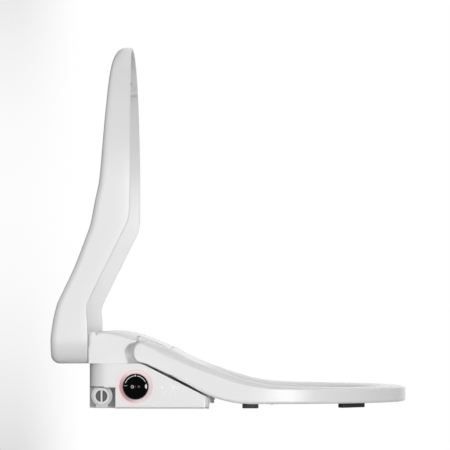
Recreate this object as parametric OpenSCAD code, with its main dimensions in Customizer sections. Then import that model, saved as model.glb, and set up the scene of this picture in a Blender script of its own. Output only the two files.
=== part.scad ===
// Electric bidet seat: heated seat with a lid, a washing unit behind it and a side control.
// +X points to the front of the seat, +Y to the user's left, +Z up.
// The origin lies midway between the two bowl bolts, on the plane of the bowl's rim.
// The lid is drawn open and the seat is drawn down.

/* [Main unit] */
// Width of the main unit over its side panels
unit_w = 380; // [377:1:382]
// Height of the parting line between the lower casing and the top cover
parting_z = 70; // [69.5:0.5:70.5]
// Wall thickness of the casing shells
wall = 2.5; // [2:0.1:2.8]

/* [Seat] */
// Width of the seat over its outer edge
seat_w = 368; // [364:1:370]
// Width of the opening in the seat
opening_w = 216; // [206:1:222]
// Distance from the bowl bolts to the front of the seat
seat_reach = 460; // [452:1:461]

/* [Lid] */
// Width of the lid over its side walls
lid_w = 400; // [399:1:404]
// Wall thickness of the lid
lid_wall = 3; // [2.6:0.1:3.2]

/* [Control] */
// Diameter of the control knob
knob_d = 39.6; // [36:0.2:40]
// Travel of the knob when it is pressed
knob_press = 1.2; // [0.8:0.1:1.2]

/* [Nozzle] */
// Diameter of the spray nozzle
nozzle_d = 9; // [8:0.5:9]

/* [Mounting] */
// Distance between the two bowl bolts
bolt_spacing = 150; // [140:1:156]
// Length of each bolt slot, end to end
bolt_slot_l = 30; // [20:1:34]
// Width of each bolt slot
bolt_slot_w = 9; // [8.5:0.5:10]

/* [Hidden] */
$fn = 48;

unit_hw = unit_w / 2;
unit_rear = -43;
unit_front = 143;
rear_corner_r = 33;
front_corner_r = 8;
base_z = 0.8;
base_top = 3.2;
casing_z = 3.4;
cover_hw = unit_hw - 3;
centre_hw = 134;
cover_front = 80.5;

seat_hw = seat_w / 2;
seat_rear = 82;
seat_corner_r = 12;
opening_hw = opening_w / 2;
opening_rear = 148;
opening_front = seat_reach - 60;
seat_axis = [46, 89.5];
arm_in = 140;
side_roll = 23;
pin_r = 4;
pin_gap = 0.05;

lid_hw = lid_w / 2;
lid_rear = -47;
lid_front = seat_reach + 2.5;
lid_axis = [-30.7, 86.3];
lid_corner_r = 23;
lid_fillet = 12;
liner_drop = 14;
liner_t = 2;
crown = 7;

panel_y = -unit_hw;
knob_pos = [30.8, 35];
lamp_pos = [[71, 33.5], [88.7, 33.5]];
shaft_r = 3;
drain_pos = [-22.2, 20.1];
boss_pos = [[8, unit_hw - 6.5], [125, unit_hw - 6.5], [-35.5, 60], [8, -unit_hw + 6.5],
    [125, -unit_hw + 6.5], [-35.5, -60]];
boss_r = 5;
screw_r = 1.9;
pad_pos = [[60, 150], [60, -150], [118, 60], [118, -60]];
drain_bay = [unit_rear + 1, -0.5, 33.5];
bay_depth = 27;

inlet_r = 10.475;
nozzle_z = 13;
inlet_y = 133;
gland_pos = [85, 30];
hose_pos = [-18, 25];
port_end = -154.2;
nozzle_r = nozzle_d / 2;
gear_teeth = 16;
gear_module = 1;
pitch_r = gear_teeth * gear_module / 2;
rack_line = 20.5;
pinion_x = 42;
tooth_h = 0.8;
tooth_depth = 1.1;

white = [0.93, 0.93, 0.93];
grey = [0.55, 0.56, 0.57];
dark = [0.16, 0.16, 0.17];
steel = [0.72, 0.73, 0.75];

// Heights along the seat: its outer edge, its crest and its underside
seat_edge = [[20, 104], [40, 100.3], [75, 83.5], [113.5, 65.5], [156.7, 50], [180, 42], [200, 36.5],
    [222, 33], [243, 31], [300, 30], [470, 29.5]];
seat_crest = [[20, 112], [86, 90.5], [108, 79], [130, 69.2], [156, 59.3], [180, 51], [204, 43.5],
    [228, 38], [252, 35], [300, 33], [470, 32]];
seat_under = [[20, 81], [46, 69], [75, 54.9], [98, 44.5], [114, 36.3], [129, 27.8], [145, 20],
    [156.7, 15.9], [178.4, 10.5], [193.8, 8.3], [206, 7.5], [470, 7.5]];
// Heights along the closed lid: its top and its rim
lid_top = [[-50, 153.2], [-44, 153.8], [-35.7, 154.6], [-12.6, 155], [9, 152.6], [42.7, 145.4], [65.8, 135],
    [99.6, 119.4], [143, 103], [167, 94.6], [204, 87.6], [235, 81], [297, 76], [356, 72],
    [425.6, 66], [465, 58]];
lid_rim = [[-50, 100.6], [34, 100.8], [44, 99.2], [52, 96], [119.7, 62.9], [154, 45.9], [166, 39.8],
    [176, 36.2], [190, 34.5], [240, 34.2], [343, 35], [412, 36.3], [465, 38]];

// ---- helpers ----

function clamp01(v) = max(0, min(1, v));
function mix(a, b, f) = a + (b - a) * f;

// Half of a closed outline from the middle of its rear edge to its front tip: a straight rear edge,
// a corner arc, a straight side, and a superellipse nose, all moved inwards by d
function half_outline(rear, front, hw, corner, mid, nose, d) = concat(
    [for (f = [0, 0.35, 0.7, 0.93]) [rear + d, (hw - corner) * f]],
    [for (i = [0 : 4]) let (a = 90 * i / 5)
        [rear + corner - (corner - d) * cos(a), hw - corner + (corner - d) * sin(a)]],
    [for (i = [0 : 6]) [mix(rear + corner, mid, i / 7), hw - d]],
    [for (i = [0 : 10]) let (a = 90 * (1 - i / 10))
        [mid + (front - mid - d) * pow(cos(a), 2 / nose), (hw - d) * pow(sin(a), 2 / nose)]]);

function full_outline(half) = concat(half,
    [for (i = [len(half) - 2 : -1 : 1]) [half[i][0], -half[i][1]]]);

function scaled(outline, s, cx) = [for (p = outline) [cx + s * (p[0] - cx), s * p[1]]];

// Triangles between rings of equal length; closed joins the last ring to the first
function ring_faces(count, n, closed) = [for (k = [0 : count - (closed ? 1 : 2)]) for (i = [0 : n - 1])
    let (a = k * n + i, b = k * n + (i + 1) % n,
        c = ((k + 1) % count) * n + (i + 1) % n, d = ((k + 1) % count) * n + i)
    each [[a, b, c], [a, c, d]]];

module ring_tube(rings) {
    n = len(rings[0]);
    polyhedron([for (r = rings) each r], ring_faces(len(rings), n, true), convexity = 8);
}

// A solid whose first and last rings each close on a middle point
module ring_dome(rings, first, last) {
    n = len(rings[0]);
    m = len(rings);
    points = concat([for (r = rings) each r], [first, last]);
    caps = [for (i = [0 : n - 1]) each
        [[m * n, (i + 1) % n, i], [m * n + 1, (m - 1) * n + i, (m - 1) * n + (i + 1) % n]]];
    polyhedron(points, concat(ring_faces(m, n, false), caps), convexity = 8);
}

module along_y(y0, y1) {
    translate([0, y1, 0]) rotate([90, 0, 0]) linear_extrude(y1 - y0) children();
}

module y_rod(pos, r, y0, y1) {
    along_y(y0, y1) translate(pos) circle(r);
}

module x_rod(y, z, r, x0, x1) {
    translate([x0, y, z]) rotate([0, 90, 0]) cylinder(h = x1 - x0, r = r);
}

module box(x0, x1, y0, y1, z0, z1) {
    translate([x0, y0, z0]) cube([x1 - x0, y1 - y0, z1 - z0]);
}

module both_sides() {
    children();
    mirror([0, 1, 0]) children();
}

module plan(x0, x1, hw, r0, r1) {
    for (s = [-1, 1]) {
        translate([x0 + r0, s * (hw - r0)]) circle(r0, $fn = 64);
        translate([x1 - r1, s * (hw - r1)]) circle(r1, $fn = 64);
    }
    translate([x0 + r0, -hw]) square([x1 - r1 - x0 - r0, 2 * hw]);
    translate([x0, -hw + r0]) square([r0 + 1, 2 * (hw - r0)]);
    translate([x1 - r1 - 1, -hw + r1]) square([r1 + 1, 2 * (hw - r1)]);
}

// Moves a closed lid part to the open position
module opened() {
    translate([lid_axis[0], 0, lid_axis[1]]) rotate([0, -90, 0])
        translate([-lid_axis[0], 0, -lid_axis[1]]) children();
}

// ---- main unit ----

module unit_plan(t, z0, z1) {
    translate([0, 0, z0]) linear_extrude(z1 - z0)
        plan(unit_rear + 1 + t, unit_front - t, unit_hw - t, rear_corner_r - t, front_corner_r - t);
}

// Side shape of the lower casing, moved inwards by t
module lower_profile(t, z0) {
    polygon([[unit_rear, z0], [unit_rear, parting_z - t], [36, parting_z - t],
        [44, parting_z - 2.5 - t], [52, parting_z - 6.5 - 1.1 * t], [139, 19 - 1.1 * t],
        [unit_front, 15.5 - 1.1 * t], [unit_front, z0]]);
}

module lower_solid(t, z0) {
    intersection() {
        unit_plan(t, z0, parting_z);
        along_y(-unit_hw, unit_hw) lower_profile(t, z0);
    }
}

module drain_bay_box(t) {
    box(unit_rear - 5, drain_bay[1] + t, -unit_hw - 5, -unit_hw + bay_depth + t,
        -1, drain_bay[2] + t);
}

module lower_casing() {
    color(white) difference() {
        lower_solid(0, casing_z);
        difference() {
            lower_solid(wall, casing_z - 1);
            drain_bay_box(wall - 0.5);
            for (p = boss_pos) translate([p[0], p[1], 0]) cylinder(h = 24, r = boss_r);
        }
        drain_bay_box(0);
        for (p = boss_pos) translate([p[0], p[1], 0]) cylinder(h = 16, r = screw_r + pin_gap);
        box(unit_rear + wall + 2, 76, -centre_hw + 4, centre_hw - 4, 44, parting_z + 1);
        box(unit_rear + wall + 2, -20, -156, 156, 44, parting_z + 1);
        y_rod(knob_pos, 25.2, panel_y - 1, panel_y + wall + 0.5);
        for (p = lamp_pos) y_rod(p, 2.2, panel_y - 1, panel_y + wall + 0.5);
        y_rod(drain_pos, 11.3, panel_y + bay_depth - 2, panel_y + bay_depth + wall + 1);
        x_rod(0, nozzle_z, 6.2, unit_front - 11, unit_front + 1);
        x_rod(gland_pos[0], gland_pos[1], 6.1, unit_rear - 1, unit_rear + wall + 2);
        x_rod(inlet_y, 22, 11.1, unit_rear - 1, unit_rear + wall + 2);
        box(60.6, 83.4, unit_hw - wall - 1, unit_hw + 1, 9.6, 20.4);
    }
}

module base_plate() {
    color(grey) difference() {
        union() {
            difference() {
                unit_plan(0, base_z, base_top);
                drain_bay_box(0);
            }
            box(-30, 30, -109, 109, base_z, 6.6);
            both_sides() box(-15, 15, bolt_spacing / 2 - 22, bolt_spacing / 2 + 22, base_z, 15.4);
        }
        box(-28.4, 28.4, -105.4, 105.4, -1, 4.3);
        both_sides() box(-13, 13, bolt_spacing / 2 - 20, bolt_spacing / 2 + 20, 0, 13.4);
        for (p = boss_pos) {
            translate([p[0], p[1], 0]) cylinder(h = 5, r = screw_r + 0.2);
            translate([p[0], p[1], 0]) cylinder(h = 2.4, r = 4.3);
        }
        for (p = pad_pos) translate([p[0], p[1], 0]) cylinder(h = 1.85, r = 10.1);
    }
}

module base_pads() {
    color(dark) for (p = pad_pos) translate([p[0], p[1], 0]) cylinder(h = 1.8, r = 10);
}

module casing_screws() {
    color(steel) for (p = boss_pos) translate([p[0], p[1], 0]) {
        difference() {
            translate([0, 0, 1]) cylinder(h = 1.4, r = 3.9);
            for (a = [0, 90]) rotate(a) translate([-2.4, -0.5, 0]) cube([4.8, 1, 1.9]);
        }
        translate([0, 0, 2.4]) cylinder(h = 12, r = screw_r);
    }
}

module mounting_plate() {
    color(grey) difference() {
        union() {
            box(-28, 28, -105, 105, 0, 2.5);
            box(-26, 26, -103, 103, 2.5, 4);
        }
        both_sides() translate([0, bolt_spacing / 2, -1]) linear_extrude(6) {
            square([bolt_slot_w, bolt_slot_l - bolt_slot_w], center = true);
            for (s = [-1, 1]) translate([0, s * (bolt_slot_l - bolt_slot_w) / 2])
                circle(bolt_slot_w / 2);
        }
        box(-12, 12, -40, 40, 2, 5);
    }
}

// Side shapes of the top cover, moved inwards by t: beside the seat's arms, and between them
module cover_rear(t) {
    polygon([[unit_rear + t, parting_z + 0.4 - (t > 0 ? 1 : 0)], [unit_rear + t, 115 - t / 2],
        [unit_rear + 2 + t * 0.7, 118 - t * 0.8], [unit_rear + 5, 119 - t], [-33.5, 118.8 - t],
        [-31, 114.2 - t], [-12, 115.5 - t], [4, 115.2 - t], [20, 110.8 - t], [32 - t, 106 - t],
        [32 - t, parting_z + 0.4 - (t > 0 ? 1 : 0)]]);
}

module cover_centre(t) {
    drop = t > 0 ? 2 : 0;
    polygon([[unit_rear + t, parting_z + 0.4 - drop], [unit_rear + t, 112 - t / 2],
        [unit_rear + 3 + t * 0.7, 116.5 - t * 0.8], [unit_rear + 9, 118.8 - t], [-22, 119.8 - t],
        [-10, 120.3 - t], [9, 118.8 - t], [24, 115.4 - t], [40.5, 110.2 - t], [60, 102.2 - t],
        [78 - t, 94 - t], [cover_front - t, 91.5 - t], [cover_front - t, 50.4 - drop],
        [52, 64.7 - drop], [44, 68.6 - drop], [36, parting_z + 0.4 - drop]]);
}

module cover_plan(t) {
    translate([0, 0, parting_z - 40]) linear_extrude(100)
        plan(unit_rear + t, 120, cover_hw - t, 8 - t / 2, 5);
}

module arm_pocket() {
    along_y(centre_hw, unit_hw + 2) {
        translate([29.5, 84]) circle(18.6);
        translate([29.5, 60]) square([60, 42.6]);
    }
}

notch_in = 117;
notch_out = 147;

module top_cover() {
    color(white) difference() {
        intersection() {
            cover_plan(0);
            union() {
                along_y(-cover_hw, cover_hw) cover_rear(0);
                along_y(-centre_hw, centre_hw) cover_centre(0);
            }
        }
        intersection() {
            cover_plan(wall);
            union() {
                along_y(-cover_hw + wall, cover_hw - wall) intersection() {
                    cover_rear(wall);
                    translate([-60, 50]) square([68.4, 80]);
                }
                along_y(-centre_hw + wall, centre_hw - wall) cover_centre(wall);
            }
        }
        both_sides() arm_pocket();
        both_sides() box(unit_rear - 5, -19, notch_in, notch_out, 74, 130);
        both_sides() y_rod(seat_axis, pin_r + 0.6, centre_hw - wall - 1, centre_hw + 1);
    }
}

module hinge_frame() {
    color(dark) both_sides() difference() {
        union() {
            box(-38, -22, 107, 115, 7, 97);
            box(-38, -22, 148.5, 153.5, 7, 97);
            box(-38, -22, 107, 153.5, 7, 10);
            box(38, 54, 118, 126, 7, 100);
            box(-38, 54, 118, 126, base_top, 10);
        }
        y_rod(lid_axis, pin_r + pin_gap, 100, 160);
        y_rod(seat_axis, pin_r + pin_gap, 100, 160);
    }
}

module seat_hinge_pins() {
    color(steel) y_rod(seat_axis, pin_r, 112, 176);
    color(steel) y_rod(seat_axis, pin_r, -176, -117.5);
}

module lid_hinge_pins() {
    color(steel) y_rod(lid_axis, pin_r, -153, -104);
    color(steel) y_rod(lid_axis, pin_r, 104, 153);
}

module seat_damper() {
    color(dark) difference() {
        union() {
            y_rod(seat_axis, 11, -117, -66);
            y_rod(seat_axis, 12.5, -117, -112);
        }
        y_rod([seat_axis[0], seat_axis[1] + 15.5], 5, -118, -60);
    }
}

module lid_damper() {
    color(dark) difference() {
        union() {
            y_rod(lid_axis, 8.5, 52, 103);
            y_rod(lid_axis, 9.3, 98, 103);
        }
        y_rod([lid_axis[0], lid_axis[1] + 12.5], 5, 50, 110);
    }
}

// ---- control side ----

module knob_light_ring() {
    color([0.98, 0.8, 0.8]) difference() {
        y_rod(knob_pos, 25, panel_y - 0.2, panel_y + wall);
        y_rod(knob_pos, shaft_r + 1.4, panel_y - 1, panel_y + wall + 1);
    }
}

module control_board() {
    color([0.1, 0.35, 0.2]) difference() {
        union() {
            along_y(panel_y + 8, panel_y + 9.6)
                polygon([[14, 8], [104, 8], [104, 30], [90, 38], [60, 48], [14, 48]]);
            along_y(panel_y + 9.6, panel_y + 14) translate([50, 14]) square([16, 16]);
            along_y(panel_y + 9.6, panel_y + 16) translate([76, 12]) square([12, 8]);
        }
        y_rod(knob_pos, shaft_r + 1.4, panel_y, panel_y + 12);
    }
    color([0.1, 0.35, 0.2]) for (p = lamp_pos) y_rod(p, 1.6, panel_y + 5.5, panel_y + 8);
}

module rotary_encoder() {
    color(steel) difference() {
        box(knob_pos[0] - 7, knob_pos[0] + 7, panel_y + 10, panel_y + 18,
            knob_pos[1] - 7, knob_pos[1] + 7);
        y_rod(knob_pos, shaft_r + pin_gap, panel_y + 9, panel_y + 15.3 + knob_press);
    }
}

module knob_shaft() {
    color(steel) y_rod(knob_pos, shaft_r, panel_y - 8, panel_y + 14.5);
}

module control_knob() {
    color([0.05, 0.05, 0.06]) difference() {
        union() {
            y_rod(knob_pos, knob_d / 2, panel_y - 10.4, panel_y - 0.6 - knob_press);
            y_rod(knob_pos, knob_d / 2 - 0.6, panel_y - 11, panel_y - 10.4);
        }
        y_rod(knob_pos, shaft_r + pin_gap, panel_y - 8.2, panel_y);
        y_rod(knob_pos, knob_d / 2 - 1.6, panel_y - 12, panel_y - 10);
    }
}

module knob_face() {
    color([0.02, 0.02, 0.03]) y_rod(knob_pos, knob_d / 2 - 1.8, panel_y - 11.2, panel_y - 10);
}

module indicator_lenses() {
    color("white") for (p = lamp_pos) {
        y_rod(p, 2, panel_y - 0.2, panel_y + 3);
        y_rod(p, 3, panel_y + 3, panel_y + 4);
    }
}

module release_button() {
    color(grey) {
        box(61, 83, unit_hw - 3, unit_hw + 1.5, 10, 20);
        box(66, 78, unit_hw - 28, unit_hw - 3, 12, 18);
    }
}

// ---- water parts ----

module drain_port() {
    y0 = panel_y + bay_depth - 12;
    color([0.8, 0.8, 0.8]) difference() {
        union() {
            intersection() {
                y_rod(drain_pos, 16.3, y0, y0 + 3);
                box(unit_rear, 0, y0 - 1, y0 + 4, 0, drain_bay[2] - 0.3);
            }
            y_rod(drain_pos, 11, y0, port_end);
            box(drain_pos[0] - 9, drain_pos[0] + 9, y0, y0 + 8, 2, 12);
        }
        y_rod(drain_pos, 8 + pin_gap, y0 - 1, y0 + 18);
        y_rod(hose_pos, 2.2, y0 + 10, y0 + 40);
    }
}

module drain_plug() {
    y0 = panel_y + 3;
    color([0.86, 0.86, 0.86]) {
        difference() {
            y_rod(drain_pos, 12.4, y0, y0 + 11.5);
            y_rod(drain_pos, 9.2, y0 - 1, y0 + 6);
        }
        box(drain_pos[0] - 1.2, drain_pos[0] + 1.2, y0 + 0.5, y0 + 7, drain_pos[1] - 9.4,
            drain_pos[1] + 9.4);
        difference() {
            y_rod(drain_pos, 8, y0 + 11, y0 + 29);
            difference() {
                y_rod(drain_pos, 8.1, y0 + 20, y0 + 22);
                y_rod(drain_pos, 6.6, y0 + 19, y0 + 23);
            }
        }
    }
}

module drain_plug_seal() {
    y0 = panel_y + 3;
    color(dark) difference() {
        y_rod(drain_pos, 7.95, y0 + 20.1, y0 + 21.9);
        y_rod(drain_pos, 6.65, y0 + 20, y0 + 22);
    }
}

module drain_hose() {
    color(dark) difference() {
        y_rod(hose_pos, 3, port_end, 19.5);
        y_rod(hose_pos, 2, port_end - 1, 20);
    }
}

module water_inlet() {
    color([0.8, 0.8, 0.8]) difference() {
        union() {
            x_rod(inlet_y, 22, inlet_r, unit_rear - 14, unit_rear + 1);
            x_rod(inlet_y, 22, 11, unit_rear + 1, unit_rear + 10);
            x_rod(inlet_y, 22, 11.8, unit_rear + 4, unit_rear + 7);
        }
        x_rod(inlet_y, 22, 6, unit_rear - 15, unit_rear + 11);
    }
}

module solenoid_valve() {
    color([0.8, 0.8, 0.8]) difference() {
        union() {
            box(-20, 8, inlet_y - 10, inlet_y + 10, 14, 40);
            box(-16, 4, inlet_y - 7, inlet_y + 7, 40, 60);
        }
        x_rod(inlet_y, 22, 4, -21, -10);
    }
}

module inlet_hose() {
    color(dark) difference() {
        x_rod(inlet_y, 22, 3.9, -32.8, -12);
        x_rod(inlet_y, 22, 2.6, -33, -11);
    }
}

module heater_tank() {
    color([0.75, 0.75, 0.72]) {
        box(-26, 26, 20, 96, 17, 58);
        box(-20, 22, 26, 90, 58, 64);
    }
}

module tank_hose() {
    color(dark) box(8.2, 14, 96.2, inlet_y + 2, 28, 34);
}

module water_pump() {
    color(dark) {
        y_rod([42, 24], 13, -72, -34);
        y_rod([42, 24], 8, -34, -28);
    }
}

module nozzle_hose() {
    color(dark) {
        y_rod([42, 24], 3, -27.8, -17.2);
    }
}

module cord_gland() {
    color(dark) difference() {
        union() {
            x_rod(gland_pos[0], gland_pos[1], 6, unit_rear - 5, unit_rear + 8);
            x_rod(gland_pos[0], gland_pos[1], 8, unit_rear + 4.5, unit_rear + 8);
        }
        x_rod(gland_pos[0], gland_pos[1], 3.6, unit_rear - 6, unit_rear + 9);
    }
}

module power_board() {
    color([0.1, 0.35, 0.2]) {
        box(62, 118, -165, -80, 8, 9.6);
        box(66, 84, -160, -136, 9.6, 26);
        box(70, 92, -120, -100, 9.6, 22);
        for (i = [0 : 2]) translate([104, -150 + 20 * i, 9.6]) cylinder(h = 10, r = 5);
    }
}

// ---- nozzle ----

module nozzle_housing() {
    color([0.8, 0.8, 0.8]) difference() {
        union() {
            box(-36, 133, -11, 11, 7, 11);
            both_sides() box(-36, 133, 8, 11, 7, 17);
            box(120, 133, -11, 11, 7, 18.4);
            box(36, 48, -17, -8, 10, 32);
        }
        x_rod(0, nozzle_z, nozzle_r + 0.3, -40, 145);
        box(-34, 119.5, -5.6, 5.6, 8, 20);
    }
}

module nozzle_tube() {
    color(steel) difference() {
        x_rod(0, nozzle_z, nozzle_r, 28.8, 141);
        x_rod(0, nozzle_z, nozzle_r - 1.2, 30, 139);
        for (i = [0 : 2]) translate([126 + 3 * i, 0, nozzle_z]) cylinder(h = 10, r = 0.6, $fn = 16);
    }
}

rack_pitch = PI * gear_module;
rack_x0 = pinion_x - rack_pitch * 23.5;

module nozzle_carriage() {
    color([0.85, 0.85, 0.85]) {
        box(-32, 28.8, -5, 5, 8.3, 19.4);
        along_y(-3, 3) {
            translate([28.8, 17.8]) square([17.5, 1.6]);
            for (i = [0 : 24]) translate([rack_x0 + rack_pitch * i, rack_line])
                polygon([[-0.95, -tooth_depth - 0.1], [-0.32, tooth_h], [0.32, tooth_h],
                    [0.95, -tooth_depth - 0.1]]);
        }
    }
}

module nozzle_cover() {
    color(dark) difference() {
        union() {
            x_rod(0, nozzle_z, 5.7, 144, 150);
            box(144, 150, -5.7, 5.7, 3, nozzle_z);
            x_rod(0, nozzle_z, 5, 150, 151.5);
        }
        x_rod(0, nozzle_z, nozzle_r - 1.3, 140, 149);
    }
    color(dark) x_rod(0, nozzle_z, nozzle_r, 141, 144);
}

root_r = pitch_r - tooth_depth;
tip_r = pitch_r + tooth_h;

module pinion_outline() {
    polygon([for (i = [0 : gear_teeth - 1]) let (a = 360 * i / gear_teeth - 90)
        for (q = [[root_r, -7.5], [tip_r, -2], [tip_r, 2], [root_r, 7.5]])
            [q[0] * cos(a + q[1]), q[0] * sin(a + q[1])]]);
}

module drive_pinion() {
    color([0.85, 0.85, 0.85]) along_y(-3, 3) translate([pinion_x, rack_line + pitch_r]) difference() {
        pinion_outline();
        circle(2 + pin_gap);
    }
}

module nozzle_motor() {
    color(steel) {
        y_rod([pinion_x, rack_line + pitch_r], 11, 13, 38);
        y_rod([pinion_x, rack_line + pitch_r], 2, -5, 13);
        box(pinion_x - 12, pinion_x + 12, 11, 13, 12, rack_line + pitch_r + 5);
    }
}

// ---- seat ----

seat_outer = full_outline(half_outline(seat_rear, seat_reach, seat_hw, seat_corner_r, 190, 2.3, 0));
seat_inner = full_outline(half_outline(opening_rear, opening_front, opening_hw, 60, 262, 2.3, 0));

// Share of the rise from the side edge to the crest, a given distance in from the side
function roll(y) = 1 - pow(1 - clamp01((seat_hw - abs(y)) / side_roll), 2.2);

// Height of the seat's outer edge: near the main unit it rises to the crest within the side roll
function edge_z(p) = let (w = roll(p[1]) * clamp01((130 - p[0]) / 30))
    mix(lookup(p[0], seat_edge), lookup(p[0], seat_crest), w);

function seat_z(p, kind, off) = kind == 0 ? lookup(p[0], seat_under) + off
    : kind == 1 ? edge_z(p) + off
    : kind == 2 ? lookup(p[0], seat_crest) + off
    : mix(edge_z(p), lookup(p[0], seat_crest), kind - 3) + off;

// One ring of the seat at a fraction of the width from outer edge to opening
function seat_ring(f, kind, off) = [for (i = [0 : len(seat_outer) - 1])
    let (p = mix(seat_outer[i], seat_inner[i], f)) [p[0], p[1], seat_z(p, kind, off)]];

module seat_ring_body(section) {
    ring_tube([for (s = section) seat_ring(s[0], s[1], s[2])]);
}

// Side shape of an arm at one distance from the middle; its top follows the seat and dips under it
arm_back = [[46, 70.2], [36, 72.6], [31.5, 74.8], [28.2, 79], [26.8, 86], [27.6, 93], [30.5, 98.5],
    [35.5, 101]];
arm_hollow = [[60, 50], [60, 87], [75, 80.3], [102, 67.4], [102, 30]];
function arm_top(x, y) = edge_z([x, y]) * clamp01((x - 36) / 8)
    + lookup(x, seat_edge) * (1 - clamp01((x - 36) / 8));
function arm_ring(y) = let (d = max(0, y - seat_hw + seat_corner_r),
        xs = seat_rear + seat_corner_r - sqrt(pow(seat_corner_r, 2) - d * d))
    [for (q = concat(arm_back, [for (x = [40, 44, 50, 60, 70, 78]) [x, arm_top(x, y)]],
        [[xs + 0.2, arm_top(xs, y) - 0.3], [xs + 8, arm_top(xs + 8, y) - 3.5], [113.5, 61],
        [113.5, 37.8], [98, 45.7], [75, 56.1]])) [q[0], y, q[1]]];

module seat_arm() {
    difference() {
        ring_dome([for (y = [184, 181, 177, 172, 166, 161, arm_in]) arm_ring(y - 184 + seat_hw)],
            [60, seat_hw, 75], [60, arm_in - 184 + seat_hw, 75]);
        along_y(arm_in - 1, seat_hw - 4) polygon(arm_hollow);
    }
}

module seat_shell() {
    color(white) difference() {
        union() {
            seat_ring_body([[0.045, 0, 0], [0, 0, 5], [0, 1, 0], [0.04, 3.5, 0], [0.12, 3.85, 0],
                [0.30, 2, 0], [0.55, 2, -0.8], [0.80, 2, -5], [0.95, 2, -9], [1, 2, -13], [1, 0, 2],
                [0.95, 0, 0], [0.95, 2, -14], [0.80, 2, -8.2], [0.55, 2, -4], [0.30, 2, -3.2],
                [0.12, 3.85, -3], [0.045, 1, -2]]);
            both_sides() seat_arm();
        }
        both_sides() y_rod(seat_axis, 6 + pin_gap, arm_in - 1, 180);
    }
}

seat_screw_pos = [[240, 132], [300, 130], [415, 62], [240, 165]];

module seat_base() {
    color(white) difference() {
        seat_ring_body([[0.07, 0, 0.3], [0.07, 0, 2.8], [0.93, 0, 2.8], [0.93, 0, 0.3]]);
        both_sides() box(60, 115, arm_in - 1, 190, 0, 120);
        both_sides() for (p = seat_screw_pos) translate([p[0], p[1], 6]) cylinder(h = 6, r = 1.6);
    }
}

module seat_heater() {
    color([0.8, 0.45, 0.2]) difference() {
        seat_ring_body([[0.30, 2, -5], [0.55, 2, -5.8], [0.80, 2, -10], [0.80, 2, -10.7],
            [0.55, 2, -6.5], [0.30, 2, -5.7]]);
        both_sides() box(60, 115, arm_in - 1, 190, 0, 120);
    }
}

module seat_bushes() {
    color(dark) both_sides() difference() {
        y_rod(seat_axis, 6, arm_in + 0.5, 179.5);
        y_rod(seat_axis, pin_r + pin_gap, arm_in, 178);
    }
}

module foot(x, y, turn, length, width) {
    translate([x, y, 0]) rotate(turn) {
        translate([-length / 2, -width / 2, 0]) cube([length, width, 7.7]);
    }
}

module seat_bumpers_rear() {
    color(dark) both_sides() foot(207, 150, 0, 25, 13);
}

module seat_bumpers_front() {
    color(dark) both_sides() foot(366, 117, -39, 46, 13);
}

module seat_screws() {
    color(steel) both_sides() for (p = seat_screw_pos) translate([p[0], p[1], 6.6]) {
        difference() {
            cylinder(h = 1.1, r = 3.2);
            for (a = [0, 90]) rotate(a) translate([-2, -0.4, -1]) cube([4, 0.8, 1.6]);
        }
        translate([0, 0, 1.1]) cylinder(h = 3.6, r = 1.4);
    }
}

// ---- lid ----

function lid_outline(d) = full_outline(half_outline(lid_rear, lid_front, lid_hw, lid_corner_r, 180,
    2.4, d));

// A ring of the closed lid at the height of a table, and one drawn in towards the crown
function lid_ring(outline, table, off) = [for (p = outline) [p[0], p[1], lookup(p[0], table) + off]];
function crown_ring(outline, s, off) =
    lid_ring(scaled(outline, s, lid_mid), lid_top, off + crown * (1 - s * s));

lid_mid = 200;
lid_steps = [0.85, 0.66, 0.46, 0.26, 0.1];
lid_mid_z = lookup(lid_mid, lid_top) + crown;

module lid_shell() {
    t = lid_wall;
    outer = lid_outline(0);
    inner = lid_outline(t);
    shoulder = lid_outline(lid_fillet);
    color(white) opened() ring_dome(concat(
        [for (i = [4 : -1 : 0]) crown_ring(shoulder, lid_steps[i], 0)],
        [lid_ring(shoulder, lid_top, -0.2), lid_ring(lid_outline(lid_fillet * 0.3), lid_top, -3.5),
            lid_ring(outer, lid_top, -lid_fillet), lid_ring(outer, lid_rim, 0),
            lid_ring(inner, lid_rim, 0), lid_ring(inner, lid_top, -lid_fillet - 1),
            lid_ring(lid_outline(lid_fillet * 0.5), lid_top, -5.5),
            lid_ring(shoulder, lid_top, -t - 0.4)],
        [for (i = [0 : 4]) crown_ring(shoulder, lid_steps[i], -t)]),
        [lid_mid, 0, lid_mid_z], [lid_mid, 0, lid_mid_z - t]);
}

module lid_liner() {
    edge = lid_outline(lid_wall + 1.2);
    color(white) opened() ring_dome(concat(
        [for (i = [4 : -1 : 0]) crown_ring(edge, lid_steps[i], -liner_drop)],
        [lid_ring(edge, lid_top, -liner_drop), lid_ring(edge, lid_top, -liner_drop - liner_t)],
        [for (i = [0 : 4]) crown_ring(edge, lid_steps[i], -liner_drop - liner_t)]),
        [lid_mid, 0, lid_mid_z - liner_drop], [lid_mid, 0, lid_mid_z - liner_drop - liner_t]);
}

module lid_hinge_arms() {
    color(dark) opened() both_sides() difference() {
        union() {
            y_rod(lid_axis, 9, 119, 145);
            box(lid_axis[0] - 9, lid_axis[0] + 9, 119, 145, lid_axis[1], 138);
        }
        y_rod(lid_axis, 6 + pin_gap, 110, 150);
        box(lid_axis[0] - 5, lid_axis[0] + 5, 123, 141, 98, 134);
    }
}

module lid_bushes() {
    color(dark) both_sides() difference() {
        y_rod(lid_axis, 6, 119.5, 144.5);
        y_rod(lid_axis, pin_r + pin_gap, 118, 146);
    }
}

module lid_bumpers() {
    color([0.88, 0.88, 0.87]) opened() both_sides() translate([400, 92, 0]) {
        translate([0, 0, 35]) cylinder(h = 15, r = 6);
        translate([0, 0, 50]) cylinder(h = 11, r = 4);
    }
}

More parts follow.
